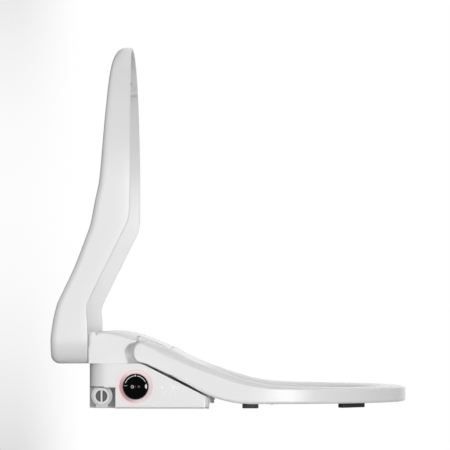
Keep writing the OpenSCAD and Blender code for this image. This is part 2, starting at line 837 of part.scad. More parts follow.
base_plate();
lower_casing();
top_cover();
hinge_frame();
mounting_plate();
base_pads();
casing_screws();
drain_port();
drain_hose();
water_inlet();
inlet_hose();
solenoid_valve();
heater_tank();
tank_hose();
water_pump();
nozzle_hose();
nozzle_housing();
nozzle_motor();
power_board();
cord_gland();
control_board();
rotary_encoder();
knob_light_ring();
indicator_lenses();
seat_hinge_pins();
seat_damper();
lid_hinge_pins();
lid_damper();
lid_shell();
lid_liner();
lid_hinge_arms();
lid_bumpers();
lid_bushes();
seat_shell();
seat_base();
seat_heater();
seat_bushes();
seat_bumpers_rear();
seat_bumpers_front();
seat_screws();
knob_shaft();
control_knob();
knob_face();
nozzle_tube();
nozzle_carriage();
nozzle_cover();
drive_pinion();
drain_plug();
drain_plug_seal();
release_button();
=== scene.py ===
"""Looks of the electric bidet seat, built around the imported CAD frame. Lengths in the tables are in mm."""
import math
from collections import namedtuple
import bpy
import bmesh
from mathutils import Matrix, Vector


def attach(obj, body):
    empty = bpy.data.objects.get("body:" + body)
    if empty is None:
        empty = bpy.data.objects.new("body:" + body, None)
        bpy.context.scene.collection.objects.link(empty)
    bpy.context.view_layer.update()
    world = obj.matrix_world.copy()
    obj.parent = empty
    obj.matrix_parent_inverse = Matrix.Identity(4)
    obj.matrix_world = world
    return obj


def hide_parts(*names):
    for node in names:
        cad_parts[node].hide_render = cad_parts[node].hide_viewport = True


MM = 0.001
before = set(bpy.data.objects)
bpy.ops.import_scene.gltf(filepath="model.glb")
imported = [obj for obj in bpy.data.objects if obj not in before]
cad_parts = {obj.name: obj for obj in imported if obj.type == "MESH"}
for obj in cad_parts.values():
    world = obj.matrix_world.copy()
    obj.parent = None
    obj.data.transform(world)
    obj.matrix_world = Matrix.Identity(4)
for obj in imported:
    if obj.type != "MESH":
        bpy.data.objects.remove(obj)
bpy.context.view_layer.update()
scene = bpy.context.scene

# ---------------------------------------------------------------- camera

CAMERA_PLACE = Vector((0.1676, -3.44, 0.129))
CAMERA_AIM = Vector((0.1676, 0.0, 0.292))

cam_data = bpy.data.cameras.new("camera")
cam_data.lens = 169.0
cam_data.sensor_width = 36.0
cam_data.clip_end = 50.0
camera = bpy.data.objects.new("camera", cam_data)
scene.collection.objects.link(camera)
camera.location = CAMERA_PLACE
camera.rotation_euler = (CAMERA_AIM - CAMERA_PLACE).to_track_quat("-Z", "Y").to_euler()
scene.camera = camera

# ---------------------------------------------------------------- sizes shared with the CAD

# HW is a half-width across the unit. A pair is a point (x, z) of the side view.
UNIT_HW = 190.0
PANEL_Y = -UNIT_HW
COVER_HW = 187.0
CENTRE_HW = 134.0
POCKET = (29.5, 84.0)
POCKET_R = 18.4
KNOB = (30.8, 35.0)
KNOB_DEPTH = 11.2
DRAIN = (-22.2, 20.1)
BAY_X, BAY_Z = 0.2, 35.0

SEAT_HW = 184.0
SEAT_REAR, SEAT_FRONT = 82.0, 460.0
SEAT_CORNER = 12.0
OPENING_HW = 108.0
ARM_IN = 140.0
SEAT_AXIS = (46.0, 89.5)
HINGE_BORE_R = 6.05

LID_HW = 200.0
LID_REAR, LID_FRONT = -47.0, 462.5
LID_MID = 200.0
LID_WALL = 3.0
LID_AXIS = (-30.7, 86.3)
CROWN = 7.0

# Heights (x, z) along the side of the seat and of the closed lid
SEAT_EDGE = [(20, 104), (40, 100.3), (75, 83.5), (113.5, 65.5), (156.7, 50), (180, 42), (200, 36.5),
             (222, 33), (243, 31), (300, 30), (470, 29.5)]
SEAT_CREST = [(20, 112), (86, 90.5), (108, 79), (130, 69.2), (156, 59.3), (180, 51), (204, 43.5), (228, 38),
              (252, 35), (300, 33), (470, 32)]
SEAT_UNDER = [(20, 81), (46, 69.1), (75, 55.5), (98, 45.2), (114, 37), (129, 28.5), (145, 20.6),
              (156.7, 16.2), (178.4, 10.5), (193.8, 8.3), (206, 7.5), (470, 7.5)]
LID_TOP = [(-50, 154), (-44, 154.6), (-35.7, 155.5), (-12.6, 156.2), (9, 154), (42.7, 146.8), (65.8, 136.4),
           (99.6, 120.6), (143, 104), (167, 95.6), (204, 88.5), (235, 82.2), (297, 77.4), (356, 73.5),
           (425.6, 68), (465, 60)]
LID_RIM = [(-50, 100.3), (10, 100.4), (34, 100.8), (44, 99.2), (52, 96), (60, 92.1), (119.7, 62.9),
           (145, 50.4), (154, 45.9), (166, 39.8), (176, 36.2), (190, 34.5), (240, 34.2), (343, 35),
           (412, 36.3), (465, 38)]


def curve(table):
    """A smooth line through a table of heights, with no overshoot between its points."""
    xs = [float(p[0]) for p in table]
    ys = [float(p[1]) for p in table]
    n = len(xs)
    step = [xs[i + 1] - xs[i] for i in range(n - 1)]
    rise = [(ys[i + 1] - ys[i]) / step[i] for i in range(n - 1)]
    slope = [rise[0]] + [0.0] * (n - 2) + [rise[-1]]
    for i in range(1, n - 1):
        if rise[i - 1] * rise[i] > 0:
            a, b = 2 * step[i] + step[i - 1], step[i] + 2 * step[i - 1]
            slope[i] = (a + b) / (a / rise[i - 1] + b / rise[i])

    def height(x):
        x = min(max(x, xs[0]), xs[-1])
        i = 0
        while i < n - 2 and x > xs[i + 1]:
            i += 1
        t = (x - xs[i]) / step[i]
        return ((1 + 2 * t) * (1 - t) ** 2 * ys[i] + t * (1 - t) ** 2 * step[i] * slope[i]
                + t * t * (3 - 2 * t) * ys[i + 1] + t * t * (t - 1) * step[i] * slope[i + 1])
    return height


seat_edge, seat_crest, seat_under = curve(SEAT_EDGE), curve(SEAT_CREST), curve(SEAT_UNDER)
lid_top, lid_rim = curve(LID_TOP), curve(LID_RIM)


def clamp01(v):
    return max(0.0, min(1.0, v))


def smooth(v):
    v = clamp01(v)
    return v * v * (3 - 2 * v)


def mix(a, b, f):
    return a + (b - a) * f


# ---------------------------------------------------------------- mesh helpers


def make(name, verts, faces, body=None, slot=None, replaces=()):
    """A mesh object from points in mm, declared to the frame when it has a body."""
    mesh = bpy.data.meshes.new(name)
    mesh.from_pydata([(x * MM, y * MM, z * MM) for x, y, z in verts], [], faces)
    mesh.validate()
    bm = bmesh.new()
    bm.from_mesh(mesh)
    bmesh.ops.remove_doubles(bm, verts=bm.verts, dist=1e-6)
    bmesh.ops.recalc_face_normals(bm, faces=bm.faces)
    bm.to_mesh(mesh)
    bm.free()
    mesh.shade_smooth()
    obj = bpy.data.objects.new(name, mesh)
    scene.collection.objects.link(obj)
    if body:
        declare(obj, body, replaces)
    return obj


def declare(obj, body, replaces=()):
    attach(obj, body)
    if replaces:
        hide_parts(*replaces)


def tube_faces(count, n, closed):
    """Quads between rings of n points each; closed joins the last ring to the first."""
    out = []
    for k in range(count if closed else count - 1):
        a, b = k * n, ((k + 1) % count) * n
        for i in range(n):
            j = (i + 1) % n
            out.append((a + i, a + j, b + j, b + i))
    return out


def loop_solid(rings):
    """Points and faces of a solid whose last ring joins its first."""
    return [p for r in rings for p in r], tube_faces(len(rings), len(rings[0]), True)


def capped_solid(rings):
    """Points and faces of a solid whose first and last ring are closed by flat faces."""
    verts = [p for r in rings for p in r]
    n = len(rings[0])
    faces = tube_faces(len(rings), n, False)
    faces.append(tuple(range(n)))
    faces.append(tuple(reversed(range(len(verts) - n, len(verts)))))
    return verts, faces


def domed_solid(rings, first, last):
    """Points and faces of a solid whose ends close on a middle point each."""
    n = len(rings[0])
    verts = [p for r in rings for p in r] + [first, last]
    faces = tube_faces(len(rings), n, False)
    first_at, last_at, base = len(verts) - 2, len(verts) - 1, len(verts) - 2 - n
    faces += [(first_at, (i + 1) % n, i) for i in range(n)]
    faces += [(last_at, base + i, base + (i + 1) % n) for i in range(n)]
    return verts, faces


def quarter(steps):
    """Steps round an edge of radius 1: how far in from its side, and how far down from its top."""
    return [(1 - math.cos(math.pi / 2 * k / steps), 1 - math.sin(math.pi / 2 * k / steps))
            for k in range(steps + 1)]


def fillet_line(points, steps):
    """A polyline whose corners are rounded; each point is (u, z, radius)."""
    out = []
    for i, (u, z, r) in enumerate(points):
        if r <= 0 or i in (0, len(points) - 1):
            out.append((u, z))
            continue
        out += corner_arc(points[i - 1][:2], (u, z), points[i + 1][:2], r, steps)
    return out


def corner_arc(a, p, b, r, steps):
    """Points of the arc of radius r that rounds the corner at p between a and b."""
    va, vb = Vector(a) - Vector(p), Vector(b) - Vector(p)
    la, lb = va.length, vb.length
    if la < 1e-9 or lb < 1e-9:
        return [tuple(p)] * (steps + 1)
    va, vb = va / la, vb / lb
    half = math.acos(max(-1.0, min(1.0, va.dot(vb)))) / 2
    if half > math.pi / 2 - 1e-3:
        return [tuple(p)] * (steps + 1)
    cut = min(r / math.tan(half), la * 0.49, lb * 0.49)
    r = cut * math.tan(half)
    centre = Vector(p) + (va + vb).normalized() * (r / math.sin(half))
    s, e = Vector(p) + va * cut - centre, Vector(p) + vb * cut - centre
    a0 = math.atan2(s.y, s.x)
    d = math.atan2(e.y, e.x) - a0
    d = (d + math.pi) % (2 * math.pi) - math.pi
    return [(centre.x + r * math.cos(a0 + d * k / steps), centre.y + r * math.sin(a0 + d * k / steps))
            for k in range(steps + 1)]


def half_outline(rear, front, hw, corner, mid, nose, d=0.0, long=0.0):
    """Half of an outline, inset by d: straight rear edge, corner arc, straight side, superellipse nose.

    The corner is longer along the side than across it by long, and the nose starts at x = mid.
    """
    rear_n, corner_n, side_n, nose_n = 12, 20, 28, 48
    start = rear + corner + long
    r, rx = max(corner - d, 0.0), max(corner + long - d, 0.0)
    pts = [(rear + d, (hw - corner) * i / rear_n) for i in range(rear_n)]
    for i in range(corner_n):
        a = math.pi / 2 * i / corner_n
        pts.append((start - rx * math.cos(a), hw - corner + r * math.sin(a)))
    pts += [(mix(start, mid, i / side_n), hw - d) for i in range(side_n)]
    for i in range(nose_n + 1):
        a = math.pi / 2 * (1 - i / nose_n)
        c, s = max(math.cos(a), 0.0), max(math.sin(a), 0.0)
        pts.append((mid + (front - mid - d) * c ** (2 / nose), (hw - d) * s ** (2 / nose)))
    return pts


def full_outline(half):
    return half + [(x, -y) for x, y in reversed(half[1:-1])]


def inset_loop(outline, d):
    """A closed outline moved inwards by d."""
    if d <= 0:
        return list(outline)
    n = len(outline)
    area = sum(outline[i][0] * outline[(i + 1) % n][1] - outline[(i + 1) % n][0] * outline[i][1]
               for i in range(n))
    s = 1.0 if area > 0 else -1.0
    out = []
    for i in range(n):
        a, p, b = Vector(outline[i - 1]), Vector(outline[i]), Vector(outline[(i + 1) % n])
        t0, t1 = (p - a).normalized(), (b - p).normalized()
        n0, n1 = Vector((-t0.y, t0.x)) * s, Vector((-t1.y, t1.x)) * s
        m = n0 + n1
        q = p + m * (d / max(m.dot(n0), 0.3)) if m.length > 1e-6 else p
        out.append((q.x, q.y))
    return out


def boolean(obj, other, operation):
    """Applies a boolean with another object, which is then removed."""
    m = obj.modifiers.new("cut", "BOOLEAN")
    m.operation = operation
    m.solver = "EXACT"
    m.object = other
    bpy.context.view_layer.update()
    graph = bpy.context.evaluated_depsgraph_get()
    mesh = bpy.data.meshes.new_from_object(obj.evaluated_get(graph))
    obj.modifiers.clear()
    obj.data = mesh
    bpy.data.objects.remove(other)


def prism(name, outline, y0, y1):
    """A solid with an outline in the X-Z plane between two y values."""
    return make(name, *capped_solid([[(x, y, z) for x, z in outline] for y in (y0, y1)]))


def rod(name, x, z, r, y0, y1, n):
    return prism(name, [(x + r * math.cos(2 * math.pi * i / n), z + r * math.sin(2 * math.pi * i / n))
                        for i in range(n)], y0, y1)


def block(name, x0, x1, y0, y1, z0, z1):
    return prism(name, [(x0, z0), (x1, z0), (x1, z1), (x0, z1)], y0, y1)


# ---------------------------------------------------------------- seat

LIP_IN, LIP_RISE = 3.4, 4.4
EDGE_ROLL = 23.0
SEAT_DISH = 11.0
ARM_FRONT = SEAT_REAR + SEAT_CORNER
ARM_BACK = [(50, 67.2, 0), (46, 69.2, 3), (36, 71.6, 4), (31.5, 73.8, 6), (28.2, 78.5, 6), (26.8, 86, 8),
            (27.6, 93, 6), (30.5, 98.5, 6), (34.5, 101.2, 4), (38, 100.8, 0)]

seat_outer = full_outline(half_outline(SEAT_REAR, SEAT_FRONT, SEAT_HW, SEAT_CORNER, mid=190, nose=2.3))
seat_inner = full_outline(half_outline(148, 400, OPENING_HW, 60, mid=262, nose=2.3))


def roll(u):
    """Share of the rise from the edge to the crest, u mm in from the side."""
    return 1 - (1 - clamp01(u / EDGE_ROLL)) ** 2.2


def seat_edge_z(x, y):
    """Height of the seat's upper edge; on the arms it rises inwards towards the crest."""
    w = roll(SEAT_HW - abs(y)) * smooth((130 - x) / 30)
    return mix(seat_edge(x), seat_crest(x), w)


def seat_section(outer, inner):
    """One closed cross-section of the seat: from its outer lip over the top to the opening, and back."""
    width = (Vector(inner) - Vector(outer)).length

    def at(f):
        return mix(outer[0], inner[0], f), mix(outer[1], inner[1], f)

    def below_crest(f, drop):
        return f * width, seat_crest(at(f)[0]) - drop, 0.0

    def above_under(f, rise, radius):
        return f * width, seat_under(at(f)[0]) + rise, radius

    edge = seat_edge_z(*outer)
    under = seat_under(outer[0])
    lip = seat_under(at(0.045)[0])
    on_arm = outer[0] < ARM_FRONT and abs(outer[1]) > ARM_IN
    line = [(LIP_IN + 0.02, lip + 0.1, 0.0)]
    for k in range(8):
        a = math.pi / 2 * k / 7
        z = mix(lip, under, math.sin(a)) + LIP_RISE * (1 - math.cos(a))
        line.append((LIP_IN * (1 - math.sin(a)), z, 0.0))
    line.append((0.0, edge, 0.3 if on_arm else 2.6))
    for u in (3.0, 6.0, 9.5, 13.5, 18.0, EDGE_ROLL, 28.0, 34.0, 40.0, 46.0, 52.0, 58.0):
        f = u / (SEAT_HW - OPENING_HW)
        x, y = at(f)
        near_edge = mix(seat_edge_z(x, y), edge, 1 - clamp01(f * 3))
        dish = SEAT_DISH * clamp01((f - 0.36) / 0.6) ** 1.9
        line.append((f * width, mix(near_edge, seat_crest(x), roll(u)) - dish, 0.0))
    x = at(0.95)[0]
    line += [below_crest(0.93, 10.2), (width, seat_crest(x) - 12.6, 4.0), (width, seat_under(x), 2.5)]
    line += [above_under(0.95, 0.0, 0.6), above_under(0.945, 3.0, 0.0)]
    line += [below_crest(0.94, 14.0), below_crest(0.5, 5.5)]
    line += [(0.12 * width, seat_edge_z(*at(0.12)) - 3.0, 0.0)]
    line += [(LIP_IN + 0.2, edge - 4.0, 0.0), (LIP_IN + 0.05, lip + 3.0, 0.0)]
    return [(*at(u / width), z) for u, z in fillet_line(line, 6)]


def arm_loop(y):
    """Side shape of an arm at one distance from the middle; its top follows the seat and dips under it."""
    def top(x):
        return mix(seat_edge(x), seat_edge_z(x, y), smooth((x - 36) / 9))
    into = max(0.0, y - (SEAT_HW - SEAT_CORNER))
    meet = ARM_FRONT - math.sqrt(SEAT_CORNER ** 2 - into ** 2)
    loop = fillet_line(ARM_BACK, 6)
    loop += [(x, top(x)) for x in (41, 44, 47, 50, 53, 57, 61, 65, 69, 73, 77, 80)]
    loop += [(meet, top(meet) - 0.2), (meet + 2.5, top(meet + 2.5) - 0.8), (meet + 8, top(meet + 8) - 3.5),
             (106, 63), (106, 43)]
    return loop + [(x, seat_under(x) + 0.15) for x in (100, 92, 84, 77, 70, 64, 58)]


def seat_arm():
    """An arm of the seat, lofted from its outer side to its inner one, with rounded side edges."""
    fillet = 2.8
    ends = [(fillet * u, fillet * d) for u, d in quarter(5)]
    rows = [(SEAT_HW - u, d) for u, d in ends]
    rows += [(y, 0.0) for y in (179.5, 177.5, 175, 172, 169, 166, 163, 161, 155, 148)]
    rows += [(ARM_IN + u, d) for u, d in reversed(ends)]
    return capped_solid([[(x, y, z) for x, z in inset_loop(arm_loop(y), d)] for y, d in rows])


def seat_shell():
    """The seat with its two arms joined on and bored for the hinge pins."""
    sections = [seat_section(outer, inner) for outer, inner in zip(seat_outer, seat_inner)]
    obj = make("seat_shell_visual", *loop_solid(sections))
    verts, faces = seat_arm()
    for side in (1, -1):
        boolean(obj, make("arm", [(x, side * y, z) for x, y, z in verts], faces), "UNION")
    for side in (1, -1):
        y0, y1 = sorted((side * (ARM_IN - 1), side * (SEAT_HW - 4)))
        boolean(obj, rod("hole", *SEAT_AXIS, HINGE_BORE_R, y0, y1, 64), "DIFFERENCE")
    declare(obj, "seat", ["seat_shell"])
    return obj


seat = seat_shell()

# ---------------------------------------------------------------- lid

CROWN_SCALES = [0.06, 0.14, 0.24, 0.36, 0.48, 0.6, 0.7, 0.79, 0.86, 0.92, 0.96, 0.985]


def opened(p):
    """A point of the closed lid, moved to the open position in which the frame is drawn."""
    return (LID_AXIS[0] - (p[2] - LID_AXIS[1]), p[1], LID_AXIS[1] + (p[0] - LID_AXIS[0]))


def rim_drop(x, y):
    """How much lower the rim hangs along the lid's sides at its hinge end."""
    return 1.7 * smooth((abs(y) - 186) / 9) * smooth((40 - x) / 30)


def lid_ring(d, height, off, scale=1.0):
    """A ring of the closed lid, inset by d, at a height table plus off, drawn in towards the crown."""
    out = []
    for x, y in full_outline(half_outline(LID_REAR, LID_FRONT, LID_HW, 20, mid=180, nose=2.4, d=d, long=19)):
        px, py = LID_MID + scale * (x - LID_MID), scale * y
        lower = rim_drop(x, y) if height is lid_rim else 0.0
        out.append(opened((px, py, height(px) + off + CROWN * (1 - scale * scale) - lower)))
    return out


def lid_solid(name, rings, top, bottom, slot, replaces):
    """A piece of the lid whose two faces close at the crown, top and bottom mm from its height."""
    middle = lid_top(LID_MID) + CROWN
    ends = [opened((LID_MID, 0, middle + z)) for z in (top, bottom)]
    return make(name, *domed_solid(rings, *ends), "lid", slot, [replaces])


def lid_shell():
    """A deep cap: crown, rounded outer edge, rounded rim and the same again inside."""
    fillet, rim = 12.0, 1.3
    inner = fillet - LID_WALL
    ceiling = -LID_WALL - 0.4
    rings = [lid_ring(fillet, lid_top, 0.0, s) for s in CROWN_SCALES]
    rings += [lid_ring(fillet * u, lid_top, -fillet * v) for u, v in reversed(quarter(10))]
    rings += [lid_ring(rim * u, lid_rim, rim * v) for u, v in quarter(4)]
    rings += [lid_ring(LID_WALL - rim * u, lid_rim, rim * v) for u, v in reversed(quarter(4))]
    rings += [lid_ring(LID_WALL + inner * u, lid_top, ceiling - inner * v) for u, v in quarter(5)]
    rings += [lid_ring(fillet, lid_top, ceiling, s) for s in reversed(CROWN_SCALES)]
    return lid_solid("lid_shell_visual", rings, 0.0, ceiling, "lid_plastic", "lid_shell")


def lid_liner():
    """The plain inner face of the lid, a sheet with a rounded edge."""
    d, drop, thick, edge = 4.0, 14.0, 2.0, 1.2
    floor_at = -drop - thick
    rings = [lid_ring(d + 0.3, lid_top, -drop, s) for s in CROWN_SCALES + [1.0]]
    rings.append(lid_ring(d, lid_top, -drop - 0.3))
    rings += [lid_ring(d + edge * u, lid_top, floor_at + edge * v) for u, v in quarter(4)]
    rings += [lid_ring(d + edge, lid_top, floor_at, s) for s in reversed(CROWN_SCALES)]
    return lid_solid("lid_liner_visual", rings, -drop, floor_at, "liner_plastic", "lid_liner")


lid = lid_shell()
liner = lid_liner()

# ---------------------------------------------------------------- top cover

COVER_REAR = -43.2
COVER_FLOOR = 70.15
REAR_BLEND = -20.0
LID_ARM_Y = (117.0, 147.0)
COVER_XS = (-43, -42.6, -42, -41.3, -40.4, -39, -37, -35.4, -34.2, -33.5, -33, -32.5, -32, -31.4, -30.6,
            -29.6, -28.4, -26.5, -24, -21.5, -19, -16, -13, -10, -7, -4, -1, 2, 5, 8, 11, 14, 17, 20, 23,
            26, 29, 32)
CENTRE_XS = (36, 40, 45, 50, 55, 60, 65, 70, 74, 77, 79, 80.5)

cover_mid = curve([(-43, 112), (-40, 116.5), (-34, 118.8), (-22, 119.8), (-10, 120.3), (9, 118.8),
                   (24, 115.4), (40.5, 110.2), (60, 102.2), (78, 94), (80.5, 91.5)])
cover_side = curve([(-43, 115), (-41.5, 117.8), (-39, 119), (-34, 118.9), (-32, 113.4), (-28.5, 116.2),
                    (-19.7, 118.2), (-10.9, 117), (6.8, 113.4), (24.5, 108.2), (32, 105.8), (80.5, 84)])
cover_under = curve([(-43, COVER_FLOOR), (36, COVER_FLOOR), (44, 68.6), (52, 64.7), (80, 50.4)])


def cover_top(x, y):
    return mix(cover_mid(x), cover_side(x), clamp01((abs(y) - CENTRE_HW) / (COVER_HW - CENTRE_HW)) ** 2)


def cover_profile(y, d, rear, low_rear, x_front):
    """Side profile of the cover at one y, inset by d: over the top, down the front, back along the floor."""
    pts = []
    for source in COVER_XS + tuple(x for x in CENTRE_XS if x <= x_front):
        along = (source - COVER_XS[0]) / (REAR_BLEND - COVER_XS[0])
        x = source if source > REAR_BLEND else mix(rear, REAR_BLEND, along)
        pts.append((min(x, x_front - d), y, cover_top(source, y) - d))
    top_front, low_front = pts[-1][2], cover_under(x_front)
    pts += [(x_front - d, y, mix(top_front, low_front, k / 4)) for k in range(1, 5)]
    back_to = 36 if x_front > 40 else 20
    for k in range(1, 7):
        x = mix(x_front - d, back_to, k / 6)
        pts.append((x, y, cover_under(x)))
    return pts + [(low_rear, y, COVER_FLOOR), (low_rear, y, 94), (rear, y, 99)]


def cover_block(name, hw, x_front, fillet, rear_corner):
    """A loft across the unit of the side profiles, with the edges rounded at its two sides."""
    inner = hw - fillet
    ys = [0.0] + [inner - step for step in (90, 60, 42, 30, 20, 14, 9, 5, 2)]
    ys += [hw - fillet * v for _, v in quarter(8)]
    rings = []
    for y in [-y for y in reversed(ys[1:])] + ys:
        e = max(abs(y) - inner, 0.0)
        d = fillet - math.sqrt(max(fillet ** 2 - e ** 2, 0.0))
        rear = low_rear = COVER_REAR + d
        if rear_corner:
            c = min(max(abs(y) - (hw - rear_corner), 0.0), rear_corner)
            rear = max(COVER_REAR + rear_corner - math.sqrt(rear_corner ** 2 - c ** 2), rear)
            low_rear = min(rear, COVER_REAR - 0.3 + max(d - 0.6, 0.0))
        rings.append(cover_profile(y, d, rear, low_rear, x_front))
    return make(name, *capped_solid(rings))


def top_cover():
    """The cover's wide rear part and its long middle, with the seat arms' pockets and the lid's notches."""
    obj = cover_block("top_cover_visual", COVER_HW, COVER_XS[-1], 3.0, 5.0)
    boolean(obj, cover_block("cover_centre", CENTRE_HW, CENTRE_XS[-1], 3.0, 0.0), "UNION")
    for side in (1, -1):
        y0, y1 = sorted((side * CENTRE_HW, side * (UNIT_HW + 2)))
        boolean(obj, rod("pocket", *POCKET, POCKET_R, y0, y1, 128), "DIFFERENCE")
        boolean(obj, block("pocket_front", POCKET[0], 60, y0, y1, 60, POCKET[1] + POCKET_R), "DIFFERENCE")
        y0, y1 = sorted(side * y for y in LID_ARM_Y)
        boolean(obj, block("notch", -48, -19, y0, y1, 74, 130), "DIFFERENCE")
    declare(obj, "main_unit", ["top_cover"])
    return obj


cover = top_cover()

# ---------------------------------------------------------------- materials


class Nodes:
    """Builds a material's node tree with short calls."""

    def __init__(self, name):
        self.mat = bpy.data.materials.new(name)
        self.mat.use_nodes = True
        self.tree = self.mat.node_tree
        self.bsdf = self.tree.nodes["Principled BSDF"]
        self.coords = self.tree.nodes.new("ShaderNodeTexCoord").outputs["Object"]

    def add(self, kind, inputs=None, **props):
        n = self.tree.nodes.new(kind)
        for k, v in props.items():
            setattr(n, k, v)
        for k, v in (inputs or {}).items():
            if isinstance(v, bpy.types.NodeSocket):
                self.tree.links.new(v, n.inputs[k])
            else:
                n.inputs[k].default_value = v
        return n

    def noise(self, scale, detail=2.0, rough=0.5):
        return self.add("ShaderNodeTexNoise", {"Vector": self.coords, "Scale": scale, "Detail": detail,
                                               "Roughness": rough}).outputs["Fac"]

    def remap(self, value, low, high, a=0.0, b=1.0):
        """Low to high as value goes from a to b."""
        return self.add("ShaderNodeMapRange", {"Value": value, "From Min": a, "From Max": b, "To Min": low,
                                               "To Max": high}).outputs["Result"]

    def math(self, op, a, b):
        return self.add("ShaderNodeMath", {0: a, 1: b}, operation=op).outputs[0]

    def times(self, *parts):
        out = parts[0]
        for p in parts[1:]:
            out = self.math("MULTIPLY", out, p)
        return out

    def mix(self, fac, a, b):
        n = self.add("ShaderNodeMix", {"Factor": fac}, data_type="RGBA")
        for k, v in ((6, a), (7, b)):
            if isinstance(v, bpy.types.NodeSocket):
                self.tree.links.new(v, n.inputs[k])
            else:
                n.inputs[k].default_value = (*v, 1.0)
        return n.outputs[2]

    def set(self, **sockets):
        for k, v in sockets.items():
            name = k.replace("_", " ")
            if isinstance(v, bpy.types.NodeSocket):
                self.tree.links.new(v, self.bsdf.inputs[name])
            else:
                self.bsdf.inputs[name].default_value = v

    def bump(self, height, strength, distance):
        n = self.add("ShaderNodeBump", {"Height": height, "Strength": strength, "Distance": distance})
        self.tree.links.new(n.outputs["Normal"], self.bsdf.inputs["Normal"])


def plastic(name, color, rough, grain=900.0, depth=0.000005, spread=0.015, tint=0.004, shine=0.5):
    """Moulded plastic: faint orange peel or grain, small changes in gloss and tone."""
    n = Nodes(name)
    tone = n.noise(14.0, 3.0)
    dark = [c * (1 - tint * 4) for c in color]
    light = [min(c * (1 + tint), 1.0) for c in color]
    fine = n.noise(grain, 2.0)
    smudge = n.noise(22.0, 4.0, 0.6)
    n.set(Base_Color=n.mix(tone, dark, light), IOR=1.49, Specular_IOR_Level=shine)
    n.set(Roughness=n.remap(smudge, rough - spread, rough + spread, 0.3, 0.7))
    n.bump(fine, 0.35, depth)
    return n


def metal(name, color, rough, stretch):
    """Turned or drawn metal, with fine lines across one direction."""
    n = Nodes(name)
    mapping = n.add("ShaderNodeMapping", {"Vector": n.coords, "Scale": stretch}).outputs["Vector"]
    lines = n.add("ShaderNodeTexNoise", {"Vector": mapping, "Scale": 600.0, "Detail": 3.0}).outputs["Fac"]
    n.set(Base_Color=n.mix(lines, [c * 0.9 for c in color], color), Metallic=1.0)
    n.set(Roughness=n.remap(lines, rough - 0.06, rough + 0.08, 0.3, 0.7))
    n.bump(lines, 0.2, 0.00001)
    return n


WHITE = [0.87, 0.87, 0.872]
PORT = [0.7, 0.7, 0.7]
PLUG = [0.8, 0.8, 0.8]
# Each plastic has its colour, roughness, grain scale and grain depth in m, then spread, tint and shine
mats = {
    "seat": plastic("seat_gloss", WHITE, 0.2, 700.0, 0.000003),
    "lid": plastic("lid_gloss", WHITE, 0.2, 700.0, 0.000004),
    "liner": plastic("liner_satin", [0.91, 0.91, 0.91], 0.36, 1200.0, 0.000006),
    "grey": plastic("grey_matte", [0.27, 0.275, 0.28], 0.5, 1800.0, 0.00003, 0.03, 0.01),
    "light_grey": plastic("light_grey_matte", [0.56, 0.56, 0.565], 0.38, 1500.0, 0.00003),
    "dark": plastic("dark_matte", [0.05, 0.05, 0.053], 0.48, 1800.0, 0.00004),
    "rubber": plastic("rubber", [0.035, 0.035, 0.037], 0.55, 2200.0, 0.00004, 0.06, 0.03),
    "bumper": plastic("soft_bumper", [0.74, 0.74, 0.73], 0.5, 2200.0, 0.00003, 0.04, 0.02),
    "tank": plastic("tank_plastic", [0.55, 0.55, 0.5], 0.5, 900.0, 0.00005),
    "board": plastic("board_mask", [0.01, 0.07, 0.03], 0.3, 500.0, 0.00003),
    "lens": plastic("lens_white", [0.9, 0.9, 0.9], 0.2, 900.0, 0.00001),
    "knob": plastic("knob_black", [0.006, 0.006, 0.008], 0.16, 900.0, 0.000003, 0.02, 0.0, 0.2),
    "glass": plastic("knob_glass", [0.0006, 0.0006, 0.0008], 0.06, 900.0, 0.000001, 0.01, 0.0, 0.015),
    "cover_grey": plastic("nozzle_grey", [0.5, 0.5, 0.5], 0.4, 1500.0, 0.00002),
    "mark": plastic("faint_print_painted_glow", [0.88, 0.87, 0.87], 0.4, 1500.0, 0.00001),
    "port": plastic("port_white", PORT, 0.35, 900.0, 0.00001),
    "print": plastic("white_print", [0.85, 0.85, 0.85], 0.45, 2500.0, 0.00001),
    "print_mid": plastic("pale_print", [0.4, 0.42, 0.42], 0.45, 2500.0, 0.00001),
    "print_grey": plastic("grey_print", [0.05, 0.05, 0.05], 0.45, 2500.0, 0.00001),
    "steel": metal("steel_turned", [0.6, 0.61, 0.63], 0.3, (1.0, 0.05, 1.0)),
    "stainless": metal("stainless_drawn", [0.7, 0.71, 0.72], 0.16, (0.05, 1.0, 1.0)),
    "foil": metal("heater_foil", [0.8, 0.6, 0.45], 0.35, (1.0, 1.0, 0.2)),
}
Place = namedtuple("Place", "x y z r")


def from_centre(n, centre):
    """Offsets from an axis (x, z) of the control side, y itself, and the distance from the axis."""
    away = n.add("ShaderNodeVectorMath", {0: n.coords, 1: (centre[0] * MM, 0.0, centre[1] * MM)},
                 operation="SUBTRACT").outputs[0]
    parts = n.add("ShaderNodeSeparateXYZ", {0: away}).outputs
    flat = n.add("ShaderNodeCombineXYZ", {"X": parts["X"], "Z": parts["Z"]}).outputs[0]
    r = n.add("ShaderNodeVectorMath", {0: flat}, operation="LENGTH").outputs["Value"]
    return Place(parts["X"], parts["Y"], parts["Z"], r)


def inside(n, value, low, high):
    """1 where the value lies between two lengths in mm."""
    return n.times(n.math("GREATER_THAN", value, low * MM), n.math("LESS_THAN", value, high * MM))


def lit_side(n, place):
    """1 on the side of the knob from which its lamp shines, falling to 0 on the other."""
    lean = n.math("ADD", n.times(place.x, -0.94), n.times(place.z, -0.34))
    return n.remap(lean, 0.0, 1.0, 0.005, 0.019)


